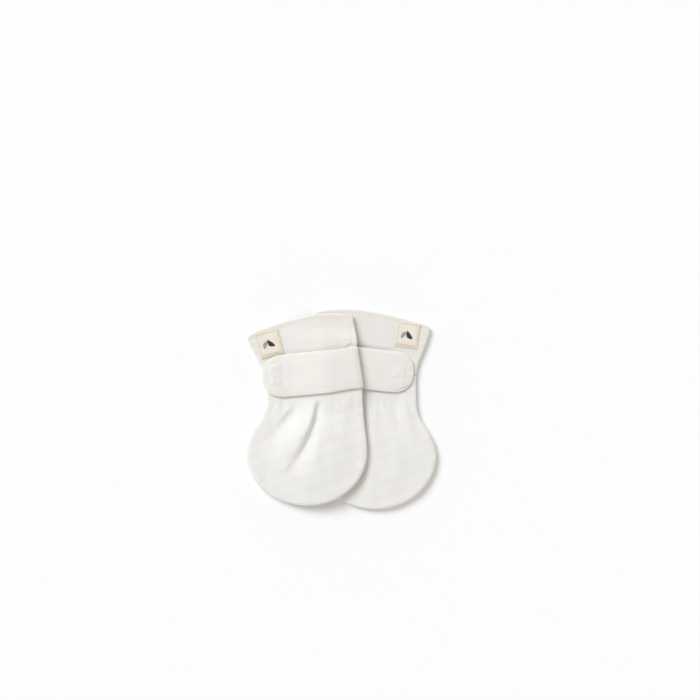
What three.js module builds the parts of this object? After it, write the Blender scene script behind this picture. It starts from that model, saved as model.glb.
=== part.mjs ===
import * as THREE from "three";

// A pair of baby mittens laid flat, the left one partly over the right one.
// Sizes in mm: X across the pair, Y from the fingertips to the cuffs, Z up from the surface they lie on.
const POUCH_WALL = 1.2; // jersey of the pouch
const CUFF_WALL = 1.3; // folded jersey of the cuff
const STRAP_WALL = 1.6; // two layers with the hook patch between them
const LABEL_WALL = 1.0; // woven label
const GAP = 0.3; // air between pieces that are sewn to each other
const SEAM_Z = 1.9; // height of the side seams over the surface
const FRONT_Z = SEAM_Z + GAP / 2; // lowest edge of the front panels
const BACK_Z = SEAM_Z - GAP / 2; // highest edge of the back panels
const FRONT_TURN = 3.5; // width over which a front panel turns from upright to level
const BACK_TURN = 2.0; // the same for a back panel
const TURNS = [0, 30, 60]; // degrees at which that turn is cut into rings
const ROW_PITCH = 7; // about how far apart two sections of a cuff lie
const WRIST = 4; // the section at which the cuff is sewn to the pouch
const FOOT_ANGLE = 48; // degrees round the pouch end at which its sides become its foot
const STRAP_RISE = 1.3; // height of the wrist over the front edge, under the strap
const STRAP_FOOT = 0.15; // share of the way down a pouch panel that the strap lies over

const IVORY = 0xeae7e2;
const IVORY_POUCH = 0xeceae6;
const ECRU = 0xeee6d8;

// Sections from the cuff opening to the widest line of the pouch. Each has its two ends in plan, how far
// its middle bows to the cuff, how high the front stands over its own edge and how deep the gathers are.
// The end is the half ellipse that closes the pouch; skew moves the bow of the opening to one side.
const LEFT = {
  name: "left",
  sections: [
    { lx: -53.2, ly: 40.4, rx: 6.2, ry: 52.4, bow: 4.2, rise: 1.5, gather: 0.0 },
    { lx: -49.9, ly: 34.2, rx: 7.4, ry: 45.8, bow: 3.2, rise: 1.45, gather: 0.05 },
    { lx: -46.4, ly: 27.6, rx: 8.7, ry: 38.6, bow: 2.0, rise: 1.35, gather: 0.15 },
    { lx: -43.9, ly: 22.2, rx: 8.5, ry: 31.4, bow: 0.8, rise: 1.3, gather: 0.0 },
    { lx: -42.3, ly: 16.4, rx: 9.4, ry: 22.2, bow: 0.0, rise: 1.3, gather: 0.0 },
    { lx: -41.0, ly: 7.4, rx: 9.9, ry: 11.2, bow: -0.6, rise: 1.3, gather: 0.0 },
    { lx: -41.6, ly: 1.2, rx: 10.8, ry: 3.0, bow: -0.8, rise: 1.6, gather: 0.42 },
    { lx: -44.4, ly: -5.0, rx: 12.0, ry: -4.6, bow: -0.8, rise: 2.1, gather: 0.34 },
    { lx: -48.4, ly: -10.8, rx: 13.3, ry: -10.8, bow: -0.6, rise: 2.5, gather: 0.2 },
    { lx: -51.4, ly: -17.4, rx: 14.2, ry: -17.2, bow: -0.3, rise: 2.7, gather: 0.08 },
    { lx: -52.8, ly: -23.5, rx: 14.5, ry: -23.5, bow: 0.0, rise: 2.7, gather: 0.0 },
  ],
  end: { cx: -19.15, cy: -23.5, a: 33.65, b: 29.8 },
  dome: 1.1,
  pressedTo: -100,
  skew: -0.2,
  cornerLeft: 2.0,
  cornerRight: 1.5,
  strap: {
    rootX: 12.2, rootY: 22.7, tipX: -43.7, tipY: 17.4, half: 11.8, flare: 0.5, corner: 12.5, droop: 0.5,
  },
  label: { x: -39.8, y: 36.2, wide: 13.2, high: 14.2, turn: 15 },
};
const RIGHT = {
  name: "right",
  sections: [
    { lx: -15.0, ly: 53.8, rx: 49.9, ry: 45.8, bow: 4.2, rise: 1.5, gather: 0.0 },
    { lx: -12.4, ly: 47.0, rx: 48.0, ry: 39.2, bow: 3.2, rise: 1.45, gather: 0.05 },
    { lx: -9.8, ly: 40.4, rx: 45.6, ry: 32.4, bow: 2.0, rise: 1.35, gather: 0.15 },
    { lx: -7.6, ly: 33.6, rx: 42.9, ry: 26.0, bow: 0.8, rise: 1.3, gather: 0.0 },
    { lx: -6.7, ly: 25.0, rx: 41.5, ry: 18.6, bow: 0.0, rise: 1.3, gather: 0.0 },
    { lx: -6.4, ly: 13.2, rx: 41.5, ry: 8.8, bow: -0.6, rise: 1.3, gather: 0.0 },
    { lx: -5.8, ly: 4.4, rx: 41.7, ry: 2.2, bow: -0.8, rise: 1.55, gather: 0.42 },
    { lx: -6.0, ly: -4.4, rx: 43.6, ry: -5.2, bow: -0.8, rise: 1.9, gather: 0.34 },
    { lx: -8.6, ly: -10.2, rx: 47.2, ry: -10.8, bow: -0.6, rise: 2.2, gather: 0.2 },
    { lx: -12.4, ly: -17.6, rx: 50.9, ry: -18.0, bow: -0.3, rise: 2.3, gather: 0.08 },
    { lx: -14.4, ly: -25.0, rx: 52.8, ry: -25.0, bow: 0.0, rise: 2.3, gather: 0.0 },
  ],
  end: { cx: 19.2, cy: -25.0, a: 33.6, b: 30.4 },
  dome: 0.9,
  pressedTo: 19,
  skew: 0.4,
  cornerLeft: 1.5,
  cornerRight: 3.0,
  strap: {
    rootX: -8.8, rootY: 24.4, tipX: 40.2, tipY: 21.2, half: 11.4, flare: 0.3, corner: 11.5, droop: 0,
  },
  label: { x: 36.7, y: 41.0, wide: 12.4, high: 13.8, turn: -9 },
};

// Pleats and soft ridges of each pouch front, along a curve through three points. They narrow to the
// wrist and fade to the far end; a negative depth stands up.
LEFT.folds = [
  { x1: -15.0, y1: 3.0, x2: -20.0, y2: -18.0, x3: -33.5, y3: -38.0, half: 2.5, depth: 1.6 },
  { x1: -19.5, y1: 0.0, x2: -25.0, y2: -12.0, x3: -34.0, y3: -20.0, half: 3.0, depth: -0.55 },
  { x1: -11.5, y1: -1.0, x2: -13.0, y2: -12.0, x3: -17.0, y3: -26.0, half: 3.2, depth: -0.5 },
  { x1: -30.5, y1: 0.0, x2: -34.5, y2: -8.0, x3: -41.5, y3: -15.5, half: 2.4, depth: 0.75 },
  { x1: 1.5, y1: 0.0, x2: 3.0, y2: -8.0, x3: 6.0, y3: -18.0, half: 2.6, depth: -0.35 },
  { x1: -3.0, y1: 0.0, x2: -3.5, y2: -8.0, x3: -4.5, y3: -17.0, half: 2.6, depth: 0.4 },
];
RIGHT.folds = [
  { x1: 34.0, y1: 0.0, x2: 39.5, y2: -12.0, x3: 44.0, y3: -29.0, half: 3.0, depth: -0.5 },
  { x1: 29.0, y1: 1.0, x2: 33.0, y2: -10.0, x3: 36.5, y3: -22.0, half: 2.7, depth: 0.75 },
  { x1: 14.8, y1: 0.0, x2: 16.5, y2: -10.0, x3: 18.0, y3: -20.0, half: 2.8, depth: -0.4 },
  { x1: 21.5, y1: 1.0, x2: 23.0, y2: -9.0, x3: 24.0, y3: -18.0, half: 2.6, depth: 0.45 },
  { x1: 3.5, y1: 1.0, x2: 1.5, y2: -9.0, x3: -3.0, y3: -20.0, half: 2.7, depth: 0.6 },
];
// How many small gathers run along a wrist edge.
const GATHERS = 7;

const clamp = (v, a, b) => Math.min(Math.max(v, a), b);
const smooth = (v) => clamp(v, 0, 1) ** 2 * (3 - 2 * clamp(v, 0, 1));
const rad = (deg) => (deg * Math.PI) / 180;
const mix = (a, b, f) => Object.fromEntries(Object.keys(a).map((k) => [k, a[k] + f * (b[k] - a[k])]));

// The section at v, counted in table rows, on a smooth curve through the rows.
function sectionAt(rows, v) {
  const i = Math.min(Math.floor(v), rows.length - 2);
  const f = v - i;
  const [p, q, r, s] = [-1, 0, 1, 2].map((k) => rows[clamp(i + k, 0, rows.length - 1)]);
  const at = {};
  for (const k of Object.keys(q)) {
    at[k] = q[k] + 0.5 * f * (r[k] - p[k] + f * (2 * p[k] - 5 * q[k] + 4 * r[k] - s[k]
      + f * (3 * (q[k] - r[k]) + s[k] - p[k])));
  }
  return at;
}

// The point at a distance in from the left end of a section, on its bowed line.
function across(section, distance, skew = 0) {
  const { lx, ly, rx, ry, bow } = section;
  const length = Math.hypot(rx - lx, ry - ly);
  const f = distance / length;
  const lift = bow * 4 * f * (1 - f) * (1 + skew * (1 - 2 * f));
  const [ux, uy] = [(rx - lx) / length, (ry - ly) / length];
  return { x: lx + f * (rx - lx) - lift * uy, y: ly + f * (ry - ly) + lift * ux };
}

const span = ({ lx, ly, rx, ry }) => Math.hypot(rx - lx, ry - ly);

// Points at even steps along a line of points, with their other numbers.
function evenly(line, steps) {
  const reach = [0];
  for (let i = 1; i < line.length; i++)
    reach.push(reach[i - 1] + Math.hypot(line[i].x - line[i - 1].x, line[i].y - line[i - 1].y));
  const out = [];
  for (let k = 0, i = 1; k <= steps; k++) {
    const want = (reach.at(-1) * k) / steps;
    while (i < line.length - 1 && reach[i] < want) i++;
    out.push(mix(line[i - 1], line[i], (want - reach[i - 1]) / (reach[i] - reach[i - 1])));
  }
  return out;
}

// One side of a pouch, from the wrist down to where its foot begins, and the foot between the sides.
function pouchSide(mitten, side, steps) {
  const { sections, end } = mitten;
  const line = [];
  for (let v = WRIST; v < sections.length - 1.01; v += 0.125) {
    const at = sectionAt(sections, v);
    line.push({ x: at[side + "x"], y: at[side + "y"], rise: at.rise, gather: at.gather });
  }
  const last = sections.at(-1);
  for (let turn = 0; turn <= FOOT_ANGLE; turn += 6) {
    const dx = end.a * Math.cos(rad(turn)) * (side === "l" ? -1 : 1);
    line.push({ x: end.cx + dx, y: end.cy - end.b * Math.sin(rad(turn)), rise: last.rise, gather: 0 });
  }
  return evenly(line, steps);
}
function pouchFoot({ end, sections }, steps) {
  const line = [];
  for (let turn = 180 + FOOT_ANGLE; turn <= 360 - FOOT_ANGLE + 0.01; turn += 3) {
    const [x, y] = [end.cx + end.a * Math.cos(rad(turn)), end.cy + end.b * Math.sin(rad(turn))];
    line.push({ x, y, rise: sections.at(-1).rise, gather: 0 });
  }
  return evenly(line, steps);
}

// The triangles of a grid of points, row after row, that face up where rows run right and rise in Y.
function gridFaces(rows, wide) {
  const faces = [];
  for (let i = 0; i < rows - 1; i++)
    for (let j = 0; j < wide - 1; j++) {
      const [a, b, c, d] = [i * wide + j, i * wide + j + 1, (i + 1) * wide + j + 1, (i + 1) * wide + j];
      faces.push([a, b, c], [a, c, d]);
    }
  return faces;
}

// A pouch panel in plan: rings that follow its seam, then a grid across what they leave. Each point
// knows how far it has turned from upright (deg) and its place down (t) and across (u) the panel.
function pouchPlan(mitten, rows, cols, turn) {
  const left = pouchSide(mitten, "l", rows);
  const right = pouchSide(mitten, "r", rows).reverse();
  const seam = [...left, ...pouchFoot(mitten, cols).slice(1, -1), ...right];
  const wrist = sectionAt(mitten.sections, WRIST);
  const length = span(wrist);
  const last = seam.length - 1;
  const side = new THREE.Vector3(wrist.rx - wrist.lx, wrist.ry - wrist.ly, 0).normalize();
  const out = seam.map((_, k) => {
    if (k === 0) return side.clone().negate();
    if (k === last) return side.clone();
    return new THREE.Vector3(seam[k + 1].y - seam[k - 1].y, seam[k - 1].x - seam[k + 1].x, 0).normalize();
  });
  const inset = (k, d) => {
    if (k === 0) return across(wrist, d);
    if (k === last) return across(wrist, length - d);
    return { x: seam[k].x - d * out[k].x, y: seam[k].y - d * out[k].y };
  };
  const points = [];
  const place = (k) => (k <= rows ? [0, k / rows]
    : k < rows + cols ? [(k - rows) / cols, 1] : [1, (last - k) / rows]);
  for (const deg of TURNS)
    seam.forEach((at, k) => {
      const d = turn * (1 - Math.cos(rad(deg)));
      const [u, t] = place(k);
      points.push({ ...inset(k, d), out: out[k], deg, u, t, rise: at.rise, gather: at.gather });
    });
  const ringStart = (r) => r * seam.length;
  const core = TURNS.length * seam.length;
  const edge = seam.map((_, k) => inset(k, turn));
  for (let i = 0; i <= rows; i++)
    for (let j = 0; j <= cols; j++) {
      const [u, t] = [j / cols, i / rows];
      const [l, r, foot] = [edge[i], edge[last - i], edge[rows + j]];
      const top = across(wrist, turn + u * (length - 2 * turn));
      const [tl, tr, bl, br] = [edge[0], edge[last], edge[rows], edge[rows + cols]];
      const at = (k) => (1 - u) * l[k] + u * r[k] + (1 - t) * top[k] + t * foot[k]
        - (1 - t) * ((1 - u) * tl[k] + u * tr[k]) - t * ((1 - u) * bl[k] + u * br[k]);
      const level = mix(left[i], right[rows - i], u);
      points.push({ x: at("x"), y: at("y"), deg: 90, u, t, rise: level.rise, gather: level.gather });
    }
  const cell = (i, j) => core + i * (cols + 1) + j;
  const rim = (k) => (k <= rows ? cell(k, 0)
    : k < rows + cols ? cell(rows, k - rows) : cell(last - k, cols));
  const faces = [];
  for (let r = 0; r < TURNS.length; r++)
    for (let k = 0; k < last; k++) {
      const [a, b] = [ringStart(r) + k, ringStart(r) + k + 1];
      const next = (q) => (r + 1 < TURNS.length ? ringStart(r + 1) + q : rim(q));
      faces.push([a, b, next(k + 1)], [a, next(k + 1), next(k)]);
    }
  for (let i = 0; i < rows; i++)
    for (let j = 0; j < cols; j++) {
      const [a, b, c, d] = [cell(i, j), cell(i + 1, j), cell(i + 1, j + 1), cell(i, j + 1)];
      if (j < cols / 2) faces.push([a, b, d], [b, c, d]);
      else faces.push([a, b, c], [a, c, d]);
    }
  return { points, faces, wristEdge: ({ t }) => t === 0 };
}

// How far a rounded corner draws a row in at a distance from the fold.
const cornerInset = (fromFold, radius) => {
  const f = clamp(1 - fromFold / radius, 0, 1);
  return radius * (1 - Math.sqrt(1 - f * f));
};

// A cuff panel in plan: straight rows from the wrist to the opening, close together at the fold.
function cuffPlan(mitten, rows, cols, turn) {
  const vs = Array.from({ length: rows + 1 }, (_, i) => (WRIST * (rows - i)) / rows);
  vs.splice(rows, 1, 0.25, 0.1, 0);
  const points = [];
  for (const v of vs) {
    const at = sectionAt(mitten.sections, v);
    const fromFold = v * ROW_PITCH;
    const start = cornerInset(fromFold, mitten.cornerLeft);
    const end = span(at) - cornerInset(fromFold, mitten.cornerRight);
    const inner = Array.from({ length: cols + 1 }, (_, j) => ({
      deg: 90, u: j / cols, s: start + turn + (j / cols) * (end - start - 2 * turn),
    }));
    const along = new THREE.Vector3(at.rx - at.lx, at.ry - at.ly, 0).normalize();
    const ring = (side) => TURNS.map((deg) => {
      const d = turn * (1 - Math.cos(rad(deg)));
      const out = along.clone().multiplyScalar(side ? 1 : -1);
      return { deg, out, u: side, s: side ? end - d : start + d };
    });
    const skew = mitten.skew * smooth(1 - v / 2);
    for (const c of [...ring(0), ...inner, ...ring(1).reverse()])
      points.push({ ...c, ...across(at, c.s, skew), v, t: 1, fromFold, rise: at.rise, gather: at.gather });
  }
  const faces = gridFaces(vs.length, cols + 1 + 2 * TURNS.length);
  return { points, faces, wristEdge: ({ v }) => v === WRIST };
}

// The height that the small gathers and the long folds give a front panel at a point.
function gathers(mitten, p, phase) {
  const wave = 2 * Math.PI * (GATHERS * p.u + 0.35 * Math.sin(5 * p.u + phase)) + phase;
  return Math.max(p.gather, 0) * Math.cos(wave) * (0.75 + 0.25 * Math.sin(11 * p.u + phase));
}
function folds(mitten, p) {
  let height = 0;
  for (const f of mitten.folds) {
    let best = { far: Infinity, q: 0 };
    for (let k = 0; k <= 24; k++) {
      const q = k / 24;
      const mid = (a, b, c) => (1 - q) ** 2 * a + 2 * q * (1 - q) * (2 * b - (a + c) / 2) + q * q * c;
      const far = Math.hypot(p.x - mid(f.x1, f.x2, f.x3), p.y - mid(f.y1, f.y2, f.y3));
      if (far < best.far) best = { far, q };
    }
    const half = f.half * (0.7 + 0.6 * best.q);
    const fade = smooth(1.15 * (1 - best.q)) * smooth(0.35 + 2.4 * best.q);
    height -= f.depth * fade * Math.exp(-((best.far / half) ** 2));
  }
  return height * Math.sin(rad(p.deg)) * smooth((p.t - STRAP_FOOT) * 8);
}

// How far a point lies inside the outline of the right mitten, negative outside it.
const RIGHT_OUTLINE = (() => {
  const side = (key) => {
    const line = [];
    for (let v = 0; v < WRIST; v += 0.25) {
      const at = sectionAt(RIGHT.sections, v);
      line.push({ x: at[key + "x"], y: at[key + "y"] });
    }
    return [...line, ...pouchSide(RIGHT, key, 30)];
  };
  return [...side("l"), ...pouchFoot(RIGHT, 20).slice(1, -1), ...side("r").reverse()];
})();
function insideRight(x, y) {
  let [near, inside] = [Infinity, false];
  RIGHT_OUTLINE.forEach((a, i) => {
    const b = RIGHT_OUTLINE[(i + 1) % RIGHT_OUTLINE.length];
    const [ex, ey] = [b.x - a.x, b.y - a.y];
    const f = clamp(((x - a.x) * ex + (y - a.y) * ey) / (ex * ex + ey * ey), 0, 1);
    near = Math.min(near, Math.hypot(x - a.x - f * ex, y - a.y - f * ey));
    if (a.y > y !== b.y > y && x < a.x + (ex * (y - a.y)) / ey) inside = !inside;
  });
  return inside ? near : -near;
}

// The height at which the left mitten lies: on the surface, and up over the right mitten where they cross.
function leftBase(x, y) {
  const over = 4.5 + 1.05 * smooth((y + 3) / 11) - 1.35 * smooth((y - 37.5) / 9);
  return over * smooth((insideRight(x, y) + 28) / 30);
}

// One closed wall from its outer surface. The inner surface is the outer one moved in by the wall: along
// its own normals, or where it turns over a seam from level to upright along the turn. Pinch, from 0 to
// 1, rounds an edge by drawing both surfaces to the middle of the wall.
function wall(name, colour, points, faces, thick, base, up = 1) {
  const outer = new THREE.BufferGeometry();
  const flat = points.flatMap((p) => [p.x, p.y, p.z]);
  outer.setAttribute("position", new THREE.Float32BufferAttribute(flat, 3));
  outer.setIndex(faces.flat());
  outer.computeVertexNormals();
  const normals = outer.getAttribute("normal");
  const [above, below] = [[], []];
  points.forEach((p, i) => {
    const n = new THREE.Vector3().fromBufferAttribute(normals, i);
    if (p.out) n.copy(p.out).multiplyScalar(Math.cos(rad(p.deg))).setZ(up * Math.sin(rad(p.deg)));
    if (p.upright) n.set(0, 0, 1);
    if (p.keep) n.addScaledVector(p.keep, -n.dot(p.keep)).normalize();
    const pinch = p.pinch ?? 0;
    for (const [list, depth] of [[above, (thick / 2) * pinch], [below, thick - (thick / 2) * pinch]]) {
      const at = new THREE.Vector3(p.x, p.y, p.z).addScaledVector(n, -depth);
      list.push(at.x, at.y, at.z + base(at.x, at.y));
    }
  });
  const open = new Map();
  for (const f of faces)
    for (let k = 0; k < 3; k++) {
      const [a, b] = [f[k], f[(k + 1) % 3]];
      if (!open.delete(b + " " + a)) open.set(a + " " + b, [a, b]);
    }
  const m = points.length;
  const index = faces.flat().concat(faces.flatMap(([a, b, c]) => [a + m, c + m, b + m]));
  for (const [a, b] of open.values()) index.push(b, a, a + m, b, a + m, b + m);
  const geometry = new THREE.BufferGeometry();
  geometry.setAttribute("position", new THREE.Float32BufferAttribute([...above, ...below], 3));
  geometry.setIndex(index);
  geometry.computeVertexNormals();
  const cloth = new THREE.MeshStandardMaterial({ color: colour, roughness: 0.95, metalness: 0 });
  const mesh = new THREE.Mesh(geometry, cloth);
  mesh.name = name;
  return mesh;
}

const flipped = (faces) => faces.map(([a, b, c]) => [a, c, b]);

// Moves the wrist edge of a panel back by half a gap and keeps its cut square to the panel.
function trimWrist(mitten, plan, away) {
  const { lx, ly, rx, ry } = mitten.sections[WRIST];
  const length = Math.hypot(rx - lx, ry - ly);
  const down = new THREE.Vector3((ry - ly) / length, -(rx - lx) / length, 0);
  for (const p of plan.points)
    if (plan.wristEdge(p)) {
      p.x += (down.x * away * GAP) / 2;
      p.y += (down.y * away * GAP) / 2;
      p.keep = down;
    }
}

// The height of a cuff front, with a soft swell along its fold.
function cuffHeight(mitten, p) {
  const swell = 0.25 * smooth(1 - p.v * 1.6);
  return FRONT_Z + (p.rise + swell + gathers(mitten, p, 2.1)) * Math.sin(rad(p.deg));
}

// The height of a pouch front: domed below the strap, and pressed down where the other mitten lies on it.
function pouchHeight(mitten, p) {
  const down = clamp((p.t - STRAP_FOOT) / (1 - STRAP_FOOT), 0, 1);
  const dome = mitten.dome * Math.sin(Math.PI * p.u) ** 0.8 * Math.sin(Math.PI * down) ** 1.1;
  const turned = Math.sin(rad(p.deg));
  const pressed = smooth((mitten.pressedTo - p.x) / 10) * smooth((p.t - STRAP_FOOT) * 6);
  const creases = folds(mitten, p) + gathers(mitten, p, 0.6) * turned;
  const raised = p.rise * (1 - 0.28 * pressed) * turned + dome * (1 - pressed);
  const z = FRONT_Z + raised + creases * (1 - 0.6 * pressed);
  return p.deg === 90 ? Math.max(z, 2 * POUCH_WALL + GAP) : z;
}

// The rounding of a folded edge at a distance from it, as the pinch that wall() takes.
const roundEdge = (distance, radius) => {
  const f = clamp(1 - distance / radius, 0, 1);
  return 0.62 * (1 - Math.sqrt(1 - f * f));
};

// Where the side of a mitten stands in X at a height in Y, between its cuff and its shoulder.
function sideAt(mitten, key, y) {
  for (let v = 1.5; v < 8; v += 0.05) {
    const [a, b] = [sectionAt(mitten.sections, v), sectionAt(mitten.sections, v + 0.05)];
    const [ya, yb] = [a[key + "y"], b[key + "y"]];
    if (ya >= y && yb < y) return a[key + "x"] + ((ya - y) / (ya - yb)) * (b[key + "x"] - a[key + "x"]);
  }
  throw new Error("no side at " + y);
}

// The strap starts against the side seam, wraps over it and runs level to a round end.
function strapPoints(mitten, cols, rows) {
  const { rootX, rootY, tipX, tipY, half, flare, corner } = mitten.strap;
  const length = Math.hypot(tipX - rootX, tipY - rootY);
  const along = { x: (tipX - rootX) / length, y: (tipY - rootY) / length };
  const turn = FRONT_TURN + GAP + STRAP_WALL;
  const stations = [0, 30, 60].map((deg) => ({ s: turn * (1 - Math.cos(rad(deg))), deg, wide: 1 }));
  const straight = length - corner - turn;
  for (let i = 0; i <= cols; i++) stations.push({ s: turn + (straight * i) / cols, deg: 90, wide: 1 });
  for (const deg of [18, 34, 48, 60, 70, 78])
    stations.push({
      s: length - corner + corner * Math.sin(rad(deg)) ** 0.9,
      deg: 90,
      wide: Math.cos(rad(deg)) ** 0.85,
    });
  const key = along.x < 0 ? "r" : "l";
  const rootShift = (side) => {
    let s = 0;
    for (let k = 0; k < 3; k++) {
      const want = sideAt(mitten, key, rootY + along.x * side + along.y * s) - along.x * (GAP + STRAP_WALL);
      s = (want - rootX + along.y * side) / along.x;
    }
    return s;
  };
  const insets = [0, 0.35, 1.0, 2.4];
  const points = [];
  for (const { s: even, deg, wide } of stations) {
    const reach = (half + flare * smooth(1 - even / 14)) * wide;
    const level = Array.from({ length: rows - 1 }, (_, i) => -1 + (2 * (i + 1)) / rows);
    const ws = [
      ...insets.map((e) => -1 + e / half),
      ...level.map((w) => w * (1 - 2.4 / half)),
      ...insets.map((e) => 1 - e / half).reverse(),
    ];
    for (const w of ws) {
      const side = w * reach;
      const s = even + rootShift(side) * smooth((32 - even) / 26);
      const droop = mitten.strap.droop * smooth((s - length + 4) / 4);
      const z = FRONT_Z + (STRAP_RISE + GAP + STRAP_WALL) * Math.sin(rad(deg)) - droop;
      const pinch = Math.max(roundEdge((1 - Math.abs(w)) * half, 1.2), roundEdge(length - s, 1.2));
      const [x, y] = [rootX + along.x * s - along.y * side, rootY + along.y * s + along.x * side];
      const out = deg < 90 ? new THREE.Vector3(-along.x, -along.y, 0) : null;
      points.push({ x, y, z, pinch, deg, out });
    }
  }
  return { points, faces: flipped(gridFaces(stations.length, insets.length * 2 + rows - 1)) };
}

// The height of an outer surface over a point in plan, from the triangle that the point falls in.
function heightAt(points, faces, x, y) {
  for (const [i, j, k] of faces) {
    const [a, b, c] = [points[i], points[j], points[k]];
    const area = (b.x - a.x) * (c.y - a.y) - (c.x - a.x) * (b.y - a.y);
    const f = ((x - a.x) * (c.y - a.y) - (c.x - a.x) * (y - a.y)) / area;
    const g = ((b.x - a.x) * (y - a.y) - (x - a.x) * (b.y - a.y)) / area;
    if (f >= 0 && g >= 0 && f + g <= 1) return a.z + f * (b.z - a.z) + g * (c.z - a.z);
  }
  throw new Error("no surface at " + x + ", " + y);
}

function labelPoints(mitten, cuff) {
  const { x, y, wide, high, turn } = mitten.label;
  const steps = [0, 0.06, 0.23, 0.41, 0.59, 0.77, 0.94, 1];
  const points = [];
  for (const v of steps)
    for (const u of steps) {
      const [a, b] = [(u - 0.5) * wide, (v - 0.5) * high];
      const px = x + a * Math.cos(rad(turn)) - b * Math.sin(rad(turn));
      const py = y + a * Math.sin(rad(turn)) + b * Math.cos(rad(turn));
      const edge = Math.min(u * wide, (1 - u) * wide, v * high, (1 - v) * high);
      points.push({
        x: px, y: py, z: heightAt(cuff.points, cuff.faces, px, py) + GAP + LABEL_WALL,
        pinch: roundEdge(edge, 0.8), upright: true,
      });
    }
  return { points, faces: gridFaces(steps.length, steps.length) };
}

function mitten(shape, base) {
  const pieces = [];
  const add = (part, colour, { points, faces }, thick, up) =>
    pieces.push(wall(shape.name + "_" + part, colour, points, faces, thick, base, up));

  const pouchFront = pouchPlan(shape, 16, 24, FRONT_TURN);
  trimWrist(shape, pouchFront, 1);
  pouchFront.points.forEach((p) => (p.z = pouchHeight(shape, p)));
  add("pouch_front", IVORY_POUCH, pouchFront, POUCH_WALL);

  const pouchBack = pouchPlan(shape, 12, 14, BACK_TURN);
  trimWrist(shape, pouchBack, 1);
  pouchBack.points.forEach((p) => (p.z = BACK_Z * (1 - Math.sin(rad(p.deg)))));
  add("pouch_back", IVORY_POUCH, { ...pouchBack, faces: flipped(pouchBack.faces) }, POUCH_WALL, -1);

  const cuffFront = cuffPlan(shape, 7, 16, FRONT_TURN);
  trimWrist(shape, cuffFront, -1);
  cuffFront.points.forEach((p) => {
    p.z = cuffHeight(shape, p);
    p.pinch = roundEdge(p.fromFold, 1.0);
  });
  add("cuff_front", IVORY, cuffFront, CUFF_WALL);

  const cuffBack = cuffPlan(shape, 6, 10, BACK_TURN);
  trimWrist(shape, cuffBack, -1);
  cuffBack.points.forEach((p) => {
    p.z = BACK_Z * (1 - Math.sin(rad(p.deg)));
    p.pinch = roundEdge(p.fromFold, 1.0);
  });
  add("cuff_back", IVORY, { ...cuffBack, faces: flipped(cuffBack.faces) }, CUFF_WALL, -1);

  add("strap", IVORY, strapPoints(shape, 12, 7), STRAP_WALL);
  add("label", ECRU, labelPoints(shape, cuffFront), LABEL_WALL);
  return pieces;
}

const group = new THREE.Group();
group.name = "baby_mittens";
group.add(...mitten(RIGHT, () => 0), ...mitten(LEFT, leftBase));

export default group;
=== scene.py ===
import math
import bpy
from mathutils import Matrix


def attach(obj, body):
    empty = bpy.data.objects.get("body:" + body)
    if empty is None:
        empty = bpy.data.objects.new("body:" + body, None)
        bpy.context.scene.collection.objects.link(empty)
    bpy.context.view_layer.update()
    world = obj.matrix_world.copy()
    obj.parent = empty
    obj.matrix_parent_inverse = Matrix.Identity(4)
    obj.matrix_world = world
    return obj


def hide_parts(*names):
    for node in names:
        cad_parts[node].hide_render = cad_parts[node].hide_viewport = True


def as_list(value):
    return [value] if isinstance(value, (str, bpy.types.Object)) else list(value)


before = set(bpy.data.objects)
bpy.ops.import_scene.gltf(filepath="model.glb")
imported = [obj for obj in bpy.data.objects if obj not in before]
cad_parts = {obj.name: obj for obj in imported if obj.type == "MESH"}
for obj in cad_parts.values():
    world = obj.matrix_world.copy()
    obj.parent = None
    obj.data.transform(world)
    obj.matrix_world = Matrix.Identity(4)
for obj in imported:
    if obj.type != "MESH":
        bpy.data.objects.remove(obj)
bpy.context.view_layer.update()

from types import SimpleNamespace

import bpy
import numpy as np
from mathutils import Vector
from mathutils.bvhtree import BVHTree

# A pair of baby mittens laid flat, the left one partly over the right one. Sizes in mm until a mesh
# is made: X across the pair, Y from the fingertips to the cuffs, Z up from the floor.
MM = 0.001
POUCH_WALL = 1.1
CUFF_WALL = 1.3
STRAP_WALL = 1.6
LABEL_WALL = 0.55
SEAM_Z = 1.9            # height of the side seams
SEAM_HALF = 0.06        # half of the slit left at a seam
FRONT_TURN = 2.4        # width over which a front panel rolls over to level
BACK_TURN = 2.0
FULL = 0.72             # under 1 a rolled side is fuller than an ellipse
FRONT_WIDEST = 0.5      # height over the seam at which a front panel stands out furthest
BACK_WIDEST = 0.4
WRIST = 4               # section at which the cuff is sewn to the pouch
FOOT_ANGLE = 48
STRAP_RISE = 1.3
STRAP_ROLL = 3.5        # width over which the strap follows the side of the cuff
STRAP_FOOT = 0.15
GATHERS = 7
ROLL = (-70, -48, -24, -8, 3, 9, 17, 26, 36, 47, 58, 68, 77, 84)   # degrees round a rolled side

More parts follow.
